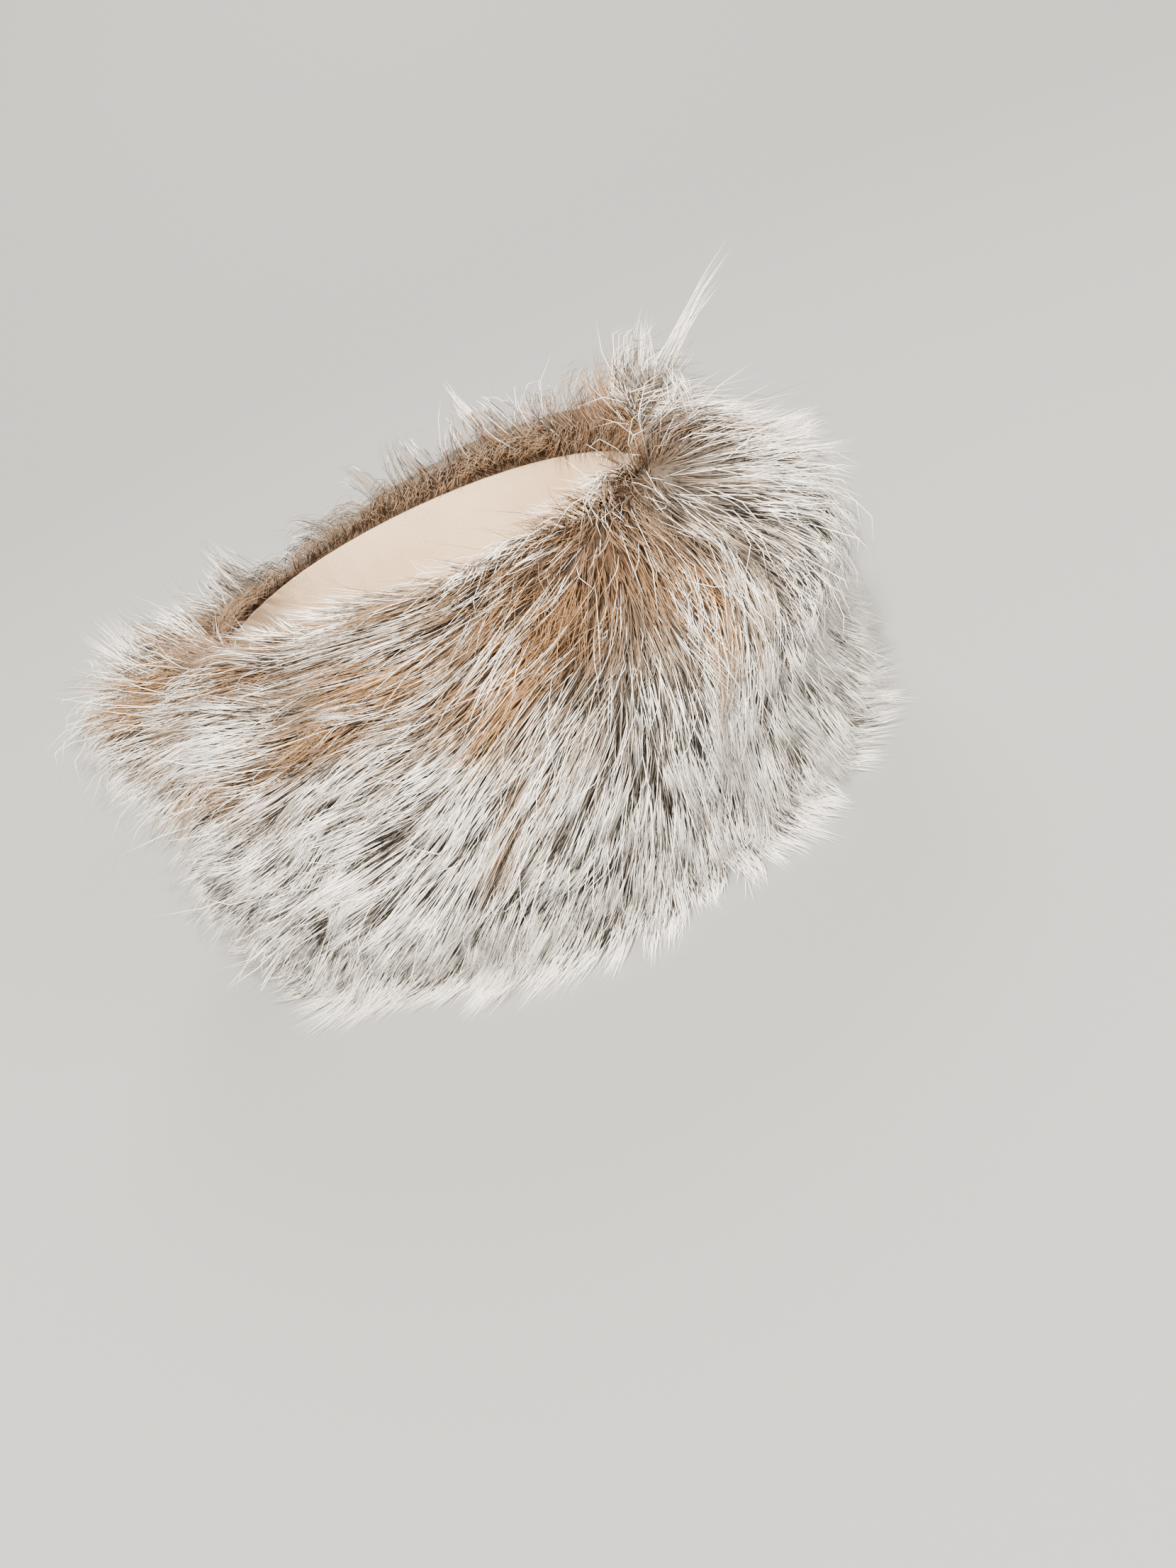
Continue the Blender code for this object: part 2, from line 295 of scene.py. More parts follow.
def hairPlace(station, depth, lift):
    # A point of a traced hair: on the coat, or hanging or standing free past its ends
    angle, share, hanging, standing = station
    place = coatPoints(angle, share, depth)
    out = coatFrame(angle, share)[2]
    sideways = unit(out * np.array([1, 1, 0]))
    free = ((hanging, coatShape["hang"]), (standing, coatShape["stand"]))
    for length, (outwards, upwards) in free:
        place = place + length[:, None] * (outwards * sideways + np.array([0, 0, upwards]))
    return place + lift[:, None] * out


def patchValues(angle, share):
    # Tone of the pelt and how much of the guard hair is there, from its patches and its rim
    greyed = np.clip((share - peltTone["greyFrom"]) / peltTone["greyOver"], 0, 1)
    tone = peltTone["top"] + peltTone["greyer"] * greyed
    cover = np.ones(len(angle))
    for patchAngle, patchShare, wide, tall, patchTone, patchCover in peltPatches:
        across = turnedBack(angle - patchAngle) / wide
        near = np.exp(-(across**2) - ((share - patchShare) / tall) ** 2)
        tone = tone * (1 - near) + patchTone * near
        cover = cover * (1 - near) + patchCover * near
    rim = np.clip(1 - (share - peltTone["rimEnd"]) / peltTone["rimFade"], 0, 1)
    tone = tone * (1 - rim) + peltTone["rimTone"] * rim
    cover = cover * (1 - peltTone["rimBare"] * rim)
    return tone, cover


def rimLean(angle):
    # How far the rim's wool leans in over the opening, and up
    amount = np.zeros(len(angle))
    for rimAngle, wide, most in rimPlaces:
        amount = amount + most * np.exp(-((turnedBack(angle - rimAngle) / wide) ** 2))
    out = coatFrame(angle, np.full(len(angle), levelShare))[2]
    inward = -unit(out * np.array([1, 1, 0]))
    return amount[:, None] * (inward + np.array([0, 0, rimRise]))


def fluffAt(angle, share):
    lift = np.zeros(len(angle))
    for fluffAngle, fluffShare, wide, tall, height in fluffPlaces:
        across = turnedBack(angle - fluffAngle) / wide
        lift = lift + height * np.exp(-(across**2) - ((share - fluffShare) / tall) ** 2)
    return lift


def meshObject(name, points, faces):
    mesh = bpy.data.meshes.new(name)
    mesh.from_pydata([tuple(p) for p in points], [], faces)
    mesh.update()
    made = bpy.data.objects.new(name, mesh)
    bpy.context.scene.collection.objects.link(made)
    return made


def gridFaces(rows, columns, wrap):
    faces = []
    for i in range(rows if wrap else rows - 1):
        for j in range(columns - 1):
            a = i * columns + j
            b = (i + 1) % rows * columns + j
            faces.append((a, a + 1, b + 1, b))
    return faces


def pointAttribute(made, name, kind, data):
    layer = made.data.attributes.new(name, kind, "POINT")
    field = "vector" if kind == "FLOAT_VECTOR" else "value"
    layer.data.foreach_set(field, np.asarray(data, np.float32).ravel())


def addNode(tree, kind, inputs=None, **settings):
    node = tree.nodes.new(kind)
    for name, value in settings.items():
        setattr(node, name, value)
    for place, value in (inputs or {}).items():
        if isinstance(value, bpy.types.NodeSocket):
            tree.links.new(value, node.inputs[place])
        else:
            node.inputs[place].default_value = value
    return node


def mathNode(tree, operation, *values):
    return addNode(tree, "ShaderNodeMath", dict(enumerate(values)), operation=operation).outputs[0]


def vectorNode(tree, operation, *values):
    node = addNode(tree, "ShaderNodeVectorMath", dict(enumerate(values)), operation=operation)
    return node.outputs[0]


def scaled(tree, vector, factor):
    node = addNode(tree, "ShaderNodeVectorMath", {0: vector, "Scale": factor}, operation="SCALE")
    return node.outputs[0]


def summed(tree, *vectors):
    total = vectors[0]
    for vector in vectors[1:]:
        total = vectorNode(tree, "ADD", total, vector)
    return total


def blended(tree, factor, a, b):
    node = addNode(tree, "ShaderNodeMix", {0: factor, 4: a, 5: b}, data_type="VECTOR")
    return node.outputs[1]


def named(tree, name, kind="FLOAT"):
    node = addNode(tree, "GeometryNodeInputNamedAttribute", {"Name": name}, data_type=kind)
    return node.outputs[0]


def stored(tree, geometry, name, value, kind="FLOAT", domain="POINT"):
    inputs = {"Geometry": geometry, "Name": name, "Value": value}
    node = addNode(tree, "GeometryNodeStoreNamedAttribute", inputs, data_type=kind, domain=domain)
    return node.outputs[0]


def randomVector(tree, size, seed):
    negative = mathNode(tree, "MULTIPLY", size, -1.0)
    inputs = {0: negative, 1: size, 8: seed}
    return addNode(tree, "FunctionNodeRandomValue", inputs, data_type="FLOAT_VECTOR").outputs[0]


def randomValue(tree, low, high, seed):
    inputs = {2: low, 3: high, 8: seed}
    return addNode(tree, "FunctionNodeRandomValue", inputs, data_type="FLOAT").outputs[1]


def scattered(tree, surface, density, seed):
    inputs = {"Mesh": surface, "Density": density, "Seed": seed}
    return addNode(tree, "GeometryNodeDistributePointsOnFaces", inputs).outputs["Points"]


def keptAbove(tree, point, lowest):
    parts = addNode(tree, "ShaderNodeSeparateXYZ", {0: point}).outputs
    height = mathNode(tree, "MAXIMUM", parts[2], lowest)
    joined = {0: parts[0], 1: parts[1], 2: height}
    return addNode(tree, "ShaderNodeCombineXYZ", joined).outputs[0]


strandInputs = {
    "Density": 100000.0,
    "Clump Density": 16000.0,
    "Clump Pull": 0.6,
    "Lock Density": 2600.0,
    "Lock Sway": 0.006,
    "Spread": 0.004,
    "Lift": 0.004,
    "Width": 0.0004,
    "Shortest": 0.75,
    "Longest": 1.1,
}

# Ranges of chance that set one strand, clump or lock apart from the next
strandChance = {
    "clumpLength": (0.82, 1.10),
    "clumpLift": (-0.3, 1.0),
    "lift": (-0.5, 1.0),
    "pull": (0.45, 1.0),
    "width": (0.65, 1.25),
    "tone": (-0.12, 0.12),
    "lockShade": (-0.12, 0.12),
    "ownShade": (-0.42, 0.42),
}

strandShape = {
    "clumpSpread": 1.5,  # spread of the clumps' tips, as a share of the strands' own
    "midSpread": 0.35,  # spread halfway along, as a share of the tip's
    "midPull": 0.4,  # the same for the pull to the clump
    "widestAt": 0.3,  # of the way along
    "thinning": 1.1,  # share of the width lost, for the distance from there squared
}

# A strand's colour map has a step of columns for each tone, with its chance number in the step
toneSteps = 16.0
stepEdge = 0.07
stepInside = 1 - 2 * stepEdge


def buildStrandTree():
    # Grows strands on a surface that carries midOffset, tipOffset, outward, tone and cover
    tree = bpy.data.node_groups.new("furStrands", "GeometryNodeTree")
    face = tree.interface
    face.new_socket("Geometry", in_out="INPUT", socket_type="NodeSocketGeometry")
    for name, default in strandInputs.items():
        socket = face.new_socket(name, in_out="INPUT", socket_type="NodeSocketFloat")
        socket.default_value = default
    face.new_socket("Segments", in_out="INPUT", socket_type="NodeSocketInt").default_value = 3
    face.new_socket("Seed", in_out="INPUT", socket_type="NodeSocketInt")
    face.new_socket("Material", in_out="INPUT", socket_type="NodeSocketMaterial")
    face.new_socket("Geometry", in_out="OUTPUT", socket_type="NodeSocketGeometry")
    given = tree.nodes.new("NodeGroupInput").outputs
    seeds = [mathNode(tree, "ADD", given["Seed"], float(i)) for i in range(10)]
    outward = named(tree, "outward", "FLOAT_VECTOR")
    tipOffset = named(tree, "tipOffset", "FLOAT_VECTOR")
    midOffset = named(tree, "midOffset", "FLOAT_VECTOR")
    spread = given["Spread"]

    def atNearest(cloud, place, value, kind):
        search = {"Geometry": cloud, "Sample Position": place}
        index = addNode(tree, "GeometryNodeSampleNearest", search, domain="POINT").outputs[0]
        sample = {"Geometry": cloud, "Value": value, "Index": index}
        return addNode(tree, "GeometryNodeSampleIndex", sample, data_type=kind).outputs[0]

    # Locks: wide groups of clumps that sway together
    place = addNode(tree, "GeometryNodeInputPosition").outputs[0]
    locks = scattered(tree, given["Geometry"], given["Lock Density"], seeds[8])
    sway = randomVector(tree, given["Lock Sway"], seeds[8])
    locks = stored(tree, locks, "lockSway", sway, "FLOAT_VECTOR")
    lockShade = randomValue(tree, *strandChance["lockShade"], seeds[7])
    locks = stored(tree, locks, "lockChance", lockShade)
    lockSway = atNearest(locks, place, named(tree, "lockSway", "FLOAT_VECTOR"), "FLOAT_VECTOR")
    lockChance = atNearest(locks, place, named(tree, "lockChance"), "FLOAT")

    # Clumps: each has a place, a tip a little off the lay, and a chance number
    clumps = scattered(tree, given["Geometry"], given["Clump Density"], seeds[1])
    liftChance = randomValue(tree, *strandChance["clumpLift"], seeds[9])
    clumpLift = mathNode(tree, "MULTIPLY", given["Lift"], liftChance)
    clumpSpread = mathNode(tree, "MULTIPLY", spread, strandShape["clumpSpread"])
    clumpTip = summed(
        tree,
        scaled(tree, tipOffset, randomValue(tree, *strandChance["clumpLength"], seeds[3])),
        randomVector(tree, clumpSpread, seeds[2]),
        scaled(tree, outward, clumpLift),
        lockSway,
    )
    clumps = stored(tree, clumps, "clumpTip", clumpTip, "FLOAT_VECTOR")
    clumps = stored(tree, clumps, "clumpChance", randomValue(tree, 0.0, 1.0, seeds[4]))

    # Roots, each drawn to the clump nearest to it
    density = mathNode(tree, "MULTIPLY", given["Density"], named(tree, "cover"))
    roots = scattered(tree, given["Geometry"], density, seeds[0])
    clumpTipHere = named(tree, "clumpTip", "FLOAT_VECTOR")
    clumpRoot = atNearest(clumps, place, place, "FLOAT_VECTOR")
    clumpMid = summed(tree, clumpRoot, atNearest(clumps, place, midOffset, "FLOAT_VECTOR"))
    clumpEnd = summed(tree, clumpRoot, atNearest(clumps, place, clumpTipHere, "FLOAT_VECTOR"))
    length = randomValue(tree, given["Shortest"], given["Longest"], seeds[5])
    ownLift = randomValue(tree, *strandChance["lift"], seeds[6])
    lift = mathNode(tree, "MULTIPLY", given["Lift"], ownLift)
    ownTip = summed(
        tree,
        place,
        scaled(tree, tipOffset, length),
        randomVector(tree, spread, seeds[6]),
        scaled(tree, outward, lift),
        lockSway,
    )
    midSpread = mathNode(tree, "MULTIPLY", spread, strandShape["midSpread"])
    ownMid = summed(
        tree, place, scaled(tree, midOffset, length), randomVector(tree, midSpread, seeds[7])
    )
    ownPull = randomValue(tree, *strandChance["pull"], seeds[5])
    pull = mathNode(tree, "MULTIPLY", given["Clump Pull"], ownPull)
    lowest = randomValue(tree, coatShape["lowest"], coatShape["lowestTip"], seeds[2])
    tipAt = keptAbove(tree, blended(tree, pull, ownTip, clumpEnd), lowest)
    midPull = mathNode(tree, "MULTIPLY", pull, strandShape["midPull"])
    midAt = keptAbove(tree, blended(tree, midPull, ownMid, clumpMid), coatShape["lowest"])

    # The strand's place in its colour map: a column for its tone and chance, a row along it
    toneChance = randomValue(tree, *strandChance["tone"], seeds[3])
    ownTone = mathNode(tree, "ADD", named(tree, "tone"), toneChance)
    tone = addNode(tree, "ShaderNodeClamp", {0: ownTone, 1: 0.0, 2: 0.999}).outputs[0]
    toneStep = mathNode(tree, "FLOOR", mathNode(tree, "MULTIPLY", tone, toneSteps))
    ownChance = randomValue(tree, *strandChance["ownShade"], seeds[1])
    clumpChance = atNearest(clumps, place, named(tree, "clumpChance"), "FLOAT")
    chance = mathNode(tree, "ADD", mathNode(tree, "ADD", clumpChance, ownChance), lockChance)
    chance = mathNode(tree, "PINGPONG", mathNode(tree, "ABSOLUTE", chance), 1.0)
    inStep = mathNode(tree, "ADD", mathNode(tree, "MULTIPLY", chance, stepInside), stepEdge)
    pick = mathNode(tree, "DIVIDE", mathNode(tree, "ADD", toneStep, inStep), toneSteps)
    ownWidth = randomValue(tree, *strandChance["width"], seeds[4])
    width = mathNode(tree, "MULTIPLY", given["Width"], ownWidth)
    points = roots
    for name, value, kind in (
        ("rootAt", place, "FLOAT_VECTOR"),
        ("midAt", midAt, "FLOAT_VECTOR"),
        ("tipAt", tipAt, "FLOAT_VECTOR"),
        ("faceOut", outward, "FLOAT_VECTOR"),
        ("pick", pick, "FLOAT"),
        ("hairWidth", width, "FLOAT"),
    ):
        points = stored(tree, points, name, value, kind)

    # One closed three-sided strand, bent to its own path after it is made real
    coneInputs = {
        "Vertices": 3,
        "Side Segments": given["Segments"],
        "Radius Top": 0.0,
        "Radius Bottom": 1.0,
        "Depth": 1.0,
    }
    cone = addNode(tree, "GeometryNodeMeshCone", coneInputs, fill_type="NGON").outputs[0]
    cone = stored(tree, cone, "strandPlace", place, "FLOAT_VECTOR")
    placed = addNode(tree, "GeometryNodeInstanceOnPoints", {"Points": points, "Instance": cone})
    real = addNode(tree, "GeometryNodeRealizeInstances", {"Geometry": placed.outputs[0]}).outputs[0]

    strandPlace = named(tree, "strandPlace", "FLOAT_VECTOR")
    across = addNode(tree, "ShaderNodeSeparateXYZ", {0: strandPlace}).outputs
    along = addNode(tree, "ShaderNodeClamp", {0: across[2]}).outputs[0]
    flat = vectorNode(tree, "MULTIPLY", strandPlace, (1.0, 1.0, 0.0))
    side = addNode(tree, "ShaderNodeSeparateXYZ", {0: vectorNode(tree, "NORMALIZE", flat)}).outputs
    midPoint = named(tree, "midAt", "FLOAT_VECTOR")
    first = blended(tree, along, named(tree, "rootAt", "FLOAT_VECTOR"), midPoint)
    second = blended(tree, along, midPoint, named(tree, "tipAt", "FLOAT_VECTOR"))
    heading = vectorNode(tree, "NORMALIZE", vectorNode(tree, "SUBTRACT", second, first))
    faceOut = named(tree, "faceOut", "FLOAT_VECTOR")
    sideways = vectorNode(tree, "NORMALIZE", vectorNode(tree, "CROSS_PRODUCT", heading, faceOut))
    upward = vectorNode(tree, "CROSS_PRODUCT", sideways, heading)
    off = mathNode(tree, "SUBTRACT", along, strandShape["widestAt"])
    squared = mathNode(tree, "MULTIPLY", off, off)
    thinning = mathNode(tree, "MULTIPLY", strandShape["thinning"], squared)
    halfWidth = mathNode(tree, "MULTIPLY", named(tree, "hairWidth"), 0.5)
    radius = mathNode(tree, "MULTIPLY", halfWidth, mathNode(tree, "SUBTRACT", 1.0, thinning))
    position = summed(
        tree,
        blended(tree, along, first, second),
        scaled(tree, sideways, mathNode(tree, "MULTIPLY", side[0], radius)),
        scaled(tree, upward, mathNode(tree, "MULTIPLY", side[1], radius)),
    )
    bent = addNode(tree, "GeometryNodeSetPosition", {"Geometry": real, "Position": position}).outputs[0]
    column = mathNode(tree, "ADD", named(tree, "pick"), mathNode(tree, "MULTIPLY", side[0], 0.0006))
    row = mathNode(tree, "ADD", 0.01, mathNode(tree, "MULTIPLY", along, 0.98))
    mapped = addNode(tree, "ShaderNodeCombineXYZ", {0: column, 1: row, 2: 0.0}).outputs[0]
    bent = stored(tree, bent, "OFBake", mapped, "FLOAT2", "CORNER")
    smooth = addNode(tree, "GeometryNodeSetShadeSmooth", {"Geometry": bent}).outputs[0]
    dressing = {"Geometry": smooth, "Material": given["Material"]}
    dressed = addNode(tree, "GeometryNodeSetMaterial", dressing).outputs[0]
    tree.links.new(dressed, tree.nodes.new("NodeGroupOutput").inputs[0])
    return tree


strandTree = buildStrandTree()
spareAttributes = (
    "rootAt", "midAt", "tipAt", "faceOut", "pick", "hairWidth", "strandPlace",
    "midOffset", "tipOffset", "outward", "tone", "cover",
)
print("strand tree built")


def growStrands(name, surface, material, values):
    # Runs the strand tree on a growth surface and keeps the strands as a plain mesh
    modifier = surface.modifiers.new("strands", "NODES")
    modifier.node_group = strandTree
    inputs = [s for s in strandTree.interface.items_tree if s.in_out == "INPUT"]
    sockets = {s.name: s.identifier for s in inputs}
    for key, value in values.items():
        modifier[sockets[key]] = value
    modifier[sockets["Material"]] = material
    bpy.context.view_layer.update()
    graph = bpy.context.evaluated_depsgraph_get()
    mesh = bpy.data.meshes.new_from_object(surface.evaluated_get(graph))
    mesh.name = name
    for spare in [a.name for a in mesh.attributes if a.name in spareAttributes]:
        mesh.attributes.remove(mesh.attributes[spare])
    made = bpy.data.objects.new(name, mesh)
    bpy.context.scene.collection.objects.link(made)
    bpy.data.objects.remove(surface, do_unlink=True)
    print(name, "triangles", sum(len(p.vertices) - 2 for p in mesh.polygons))
    return made


# Hair is shorter near the rim, and fans out longer on the crest
hairLength = {
    "rimLength": 0.45,  # share of its length at the rim
    "fullFrom": 0.20,  # share down the coat where it has its full length
    "crestAngle": -8,
    "crestWidth": 28,
    "crestShare": 0.16,
    "crestFade": 0.20,  # share down over which the crest's own depth fades
    "traced": 0.88,  # share of its length that it lies along the coat
    "leanBow": 0.2,  # how far leaning wool bows up, as a share of its lean
}


def growthSurface(form, fromAngle, toAngle):
    # A strip of the dense wool's face that hair grows on, with the hair's path stored on it
    columns = 44
    degreesApart = 2.5
    rows = max(6, round((toAngle - fromAngle) / degreesApart) + 1)
    around = np.linspace(fromAngle, toAngle, rows)
    down = np.linspace(form["fromShare"], form["toShare"], columns)
    angle, share = [grid.ravel() for grid in np.meshgrid(around, down, indexing="ij")]
    root = coatPoints(angle, share, form["rootDepth"])
    short = hairLength["rimLength"]
    rim = short + (1 - short) * np.clip(share / hairLength["fullFrom"], 0, 1)
    across = turnedBack(angle - hairLength["crestAngle"]) / hairLength["crestWidth"]
    fan = np.exp(-(across**2) - (share / hairLength["crestShare"]) ** 2)
    length = form["length"] * (rim + form["fan"] * fan)
    halfway, tip = traceHair(angle, share, length * hairLength["traced"])
    fluff = fluffAt(angle, share) * form["fluff"]
    crest = np.exp(-((share / hairLength["crestFade"]) ** 2))
    midDepth = form["midDepth"] + form["crestDepth"] * crest
    midPlace = hairPlace(halfway, midDepth, 0.5 * fluff)
    tipPlace = hairPlace(tip, form["tipDepth"], fluff + form["tipLift"])
    if form["lean"]:
        tipPlace = root + form["lean"] * rimLean(angle)
        bow = form["lean"] * hairLength["leanBow"]
        midPlace = (root + tipPlace) / 2 + np.array([0, 0, bow])
    bend = 2 * midPlace - (root + tipPlace) / 2
    tone, cover = patchValues(angle, share)
    cover = form["bareCover"] * (1 - cover) + form["fullCover"] * cover
    surface = meshObject("growth", root, gridFaces(rows, columns, False))
    pointAttribute(surface, "midOffset", "FLOAT_VECTOR", bend - root)
    pointAttribute(surface, "tipOffset", "FLOAT_VECTOR", tipPlace - root)
    pointAttribute(surface, "outward", "FLOAT_VECTOR", coatFrame(angle, share)[2])
    pointAttribute(surface, "tone", "FLOAT", tone)
    pointAttribute(surface, "cover", "FLOAT", cover)
    return surface


furColours = {
    "dark": (0.026, 0.021, 0.016),
    "cream": (0.66, 0.56, 0.45),
    "white": (0.98, 0.945, 0.885),
}

# Colour at the root and of the wool's tips, by tone from tan through brown to grey
toneBase = (
    (0.00, (0.29, 0.138, 0.047)),
    (0.22, (0.100, 0.056, 0.030)),
    (0.45, (0.150, 0.110, 0.078)),
    (1.00, (0.195, 0.165, 0.135)),
)
toneTip = (
    (0.00, (0.43, 0.235, 0.090)),
    (0.22, (0.19, 0.113, 0.062)),
    (0.45, (0.33, 0.25, 0.175)),
    (1.00, (0.48, 0.43, 0.37)),
)
# Colour of the dense wool between the strands, by the same tones: its own colour painted much darker as
# the shade that falls between the strands
woolToneInShade = (
    (0.00, (0.200, 0.098, 0.040)),
    (0.22, (0.060, 0.035, 0.020)),
    (0.45, (0.075, 0.056, 0.040)),
    (1.00, (0.068, 0.056, 0.044)),
)


def colour(name):
    return (*furColours[name], 1)


def buildStrandGroup():
    # Splits a strand's own map into the way along it, its tone and its chance number
    group = bpy.data.node_groups.new("strandCoordinates", "ShaderNodeTree")
    for name in ("Along", "Tone", "Chance"):
        group.interface.new_socket(name, in_out="OUTPUT", socket_type="NodeSocketFloat")
    ownMap = addNode(group, "ShaderNodeUVMap", uv_map="OFBake").outputs[0]
    parts = addNode(group, "ShaderNodeSeparateXYZ", {0: ownMap}).outputs
    column = mathNode(group, "MULTIPLY", parts[0], toneSteps)
    tone = mathNode(group, "DIVIDE", mathNode(group, "FLOOR", column), toneSteps - 1)
    inStep = mathNode(group, "SUBTRACT", mathNode(group, "FRACT", column), stepEdge)
    chance = mathNode(group, "DIVIDE", inStep, stepInside)
    out = group.nodes.new("NodeGroupOutput")
    for i, value in enumerate((parts[1], tone, chance)):
        group.links.new(value, out.inputs[i])
    return group


strandGroup = buildStrandGroup()


def newMaterial(name, roughness, specular=0.25):
    material = bpy.data.materials.new(name)
    material.use_nodes = True
    shader = material.node_tree.nodes["Principled BSDF"]
    shader.inputs["Roughness"].default_value = roughness
    shader.inputs["Specular IOR Level"].default_value = specular
    return material, material.node_tree, shader


def mixColours(tree, factor, a, b):
    return addNode(tree, "ShaderNodeMix", {0: factor, 6: a, 7: b}, data_type="RGBA").outputs[2]


def multiplied(tree, a, b):
    inputs = {0: 1.0, 6: a, 7: b}
    node = addNode(tree, "ShaderNodeMix", inputs, data_type="RGBA", blend_type="MULTIPLY")
    return node.outputs[2]


def ramp(tree, factor, stops):
    node = addNode(tree, "ShaderNodeValToRGB", {0: factor})
    elements = node.color_ramp.elements
    while len(elements) < len(stops):
        elements.new(0.5)
    for element, (place, value) in zip(elements, stops):
        element.position = place
        element.color = (*((value,) * 3 if isinstance(value, float) else value), 1.0)
    return node.outputs[0]


def above(tree, value, threshold):
    return mathNode(tree, "GREATER_THAN", value, threshold)


guardLook = {
    "name": "guardHair",
    "roughness": 0.55,
    "shift": 0.12,  # how far the bands move along from one strand to another
    "shiftWaves": 14.0,
    "bandStart": 0.34,
    "bandEnd": 0.59,
    "bandEdge": 0.06,
    # The darkening towards the root set here is painted shade, deep in the coat
    "paintedRootShade": 0.35,  # how much of the colour is left at the root, deep in the coat
    "paintedShadeEnd": 0.45,
    "plainPale": 0.12,  # share of strands with no dark band
    "paleStart": (0.12, 0.34),  # where a strand with no band turns pale
    "allDark": 0.935,  # strands whose chance number is above this are dark
    "darkStart": (0.20, 0.42),
    "tanFrom": (0.30, 0.70),  # chance number from which hair is tan, and how much a grey tone adds
}
paleLook = dict(guardLook, name="paleHair", plainPale=0.88, allDark=1.5)


def guardMaterial(look):
    # Banded guard hair: wool colour at the root, a dark band, then white, all darkened towards the root
    # by painted shade
    material, tree, shader = newMaterial(look["name"], look["roughness"])
    strand = addNode(tree, "ShaderNodeGroup", node_tree=strandGroup).outputs
    along, tone, chance = strand["Along"], strand["Tone"], strand["Chance"]
    base = ramp(tree, tone, toneBase)
    wave = mathNode(tree, "SINE", mathNode(tree, "MULTIPLY", chance, look["shiftWaves"]))
    place = mathNode(tree, "ADD", along, mathNode(tree, "MULTIPLY", wave, look["shift"]))
    start, end, edge = look["bandStart"], look["bandEnd"], look["bandEdge"]
    bandStops = ((0.0, 0.0), (start - edge, 0.0), (start, 1.0), (end, 1.0), (end + edge, 0.0))
    inBand = ramp(tree, place, bandStops)
    inWhite = ramp(tree, place, ((0.0, 0.0), (end, 0.0), (end + edge, 1.0)))
    pale = mixColours(tree, along, colour("cream"), colour("white"))
    banded = mixColours(tree, inBand, mixColours(tree, inWhite, base, pale), colour("dark"))
    none, full = look["paleStart"]
    paleStart = ramp(tree, place, ((0.0, 0.0), (none, 0.0), (full, 1.0)))
    none, full = look["darkStart"]
    darkStart = ramp(tree, place, ((0.0, 0.0), (none, 0.0), (full, 1.0)))
    plainPale = mixColours(tree, paleStart, base, pale)
    allDark = mixColours(tree, darkStart, base, colour("dark"))
    tanHair = mixColours(tree, along, base, ramp(tree, tone, toneTip))
    # Tan patches hold more tan hairs
    least, more = look["tanFrom"]
    tanFrom = mathNode(tree, "ADD", least, mathNode(tree, "MULTIPLY", tone, more))
    found = mixColours(tree, above(tree, chance, look["plainPale"]), plainPale, banded)
    found = mixColours(tree, above(tree, chance, look["allDark"]), found, allDark)
    found = mixColours(tree, above(tree, chance, tanFrom), found, tanHair)
    # Painted shade: the colour darkens towards the root, deep in the coat where little light reaches
    shade = ramp(tree, along, ((0.0, look["paintedRootShade"]), (look["paintedShadeEnd"], 1.0)))
    tree.links.new(multiplied(tree, found, shade), shader.inputs["Base Color"])
    return material


woolLook = {
    "roughness": 0.85,
    "tipShare": (0.3, 0.6),  # least share of the tip's colour, and how much more by chance
    # Painted shade: the colour left at the root, and how far along it is full again
    "paintedRootShade": 0.5,
    "paintedShadeEnd": 0.6,
}


def woolMaterial():
    # Soft underfur, tan or grey by its tone and paler at the tip, darkened towards the root by painted
    # shade
    material, tree, shader = newMaterial("softWool", woolLook["roughness"])
    strand = addNode(tree, "ShaderNodeGroup", node_tree=strandGroup).outputs
    base = ramp(tree, strand["Tone"], toneBase)
    tip = ramp(tree, strand["Tone"], toneTip)
    least, more = woolLook["tipShare"]
    ownShare = mathNode(tree, "ADD", least, mathNode(tree, "MULTIPLY", strand["Chance"], more))
    paler = mathNode(tree, "MULTIPLY", strand["Along"], ownShare)
    # Painted shade, darkest at the root
    shadeStops = ((0.0, woolLook["paintedRootShade"]), (woolLook["paintedShadeEnd"], 1.0))
    shade = ramp(tree, strand["Along"], shadeStops)
    found = multiplied(tree, mixColours(tree, paler, base, tip), shade)
    tree.links.new(found, shader.inputs["Base Color"])
    return material


bodyLook = {
    "roughness": 0.95,
    "grain": 420.0,
    "grainShade": 0.55,
}


def bodyMaterial():
    # Dense wool seen between the strands, its colour painted dark as the shade between them, and darker
    # where the coat is grey
    material, tree, shader = newMaterial("denseWool", bodyLook["roughness"])
    tone = addNode(tree, "ShaderNodeAttribute", attribute_name="woolTone").outputs["Fac"]
    place = addNode(tree, "ShaderNodeTexCoord").outputs["Object"]
    fineInputs = {"Vector": place, "Scale": bodyLook["grain"], "Detail": 2.0}
    fine = addNode(tree, "ShaderNodeTexNoise", fineInputs).outputs[0]
    # Painted shade: the wool's tones darkened for the shade between the strands
    shadedWoolTint = ramp(tree, tone, woolToneInShade)
    shade = ramp(tree, fine, ((0.3, bodyLook["grainShade"]), (0.7, 1.0)))
    tree.links.new(multiplied(tree, shadedWoolTint, shade), shader.inputs["Base Color"])
    return material


hideLook = {
    "roughness": 0.92,
    "dark": (0.44, 0.30, 0.18),
    "pale": (0.56, 0.41, 0.27),
    "clouds": 22.0,
    "nap": 900.0,
    "napStrength": 0.35,
    "napHeight": 0.0006,
}


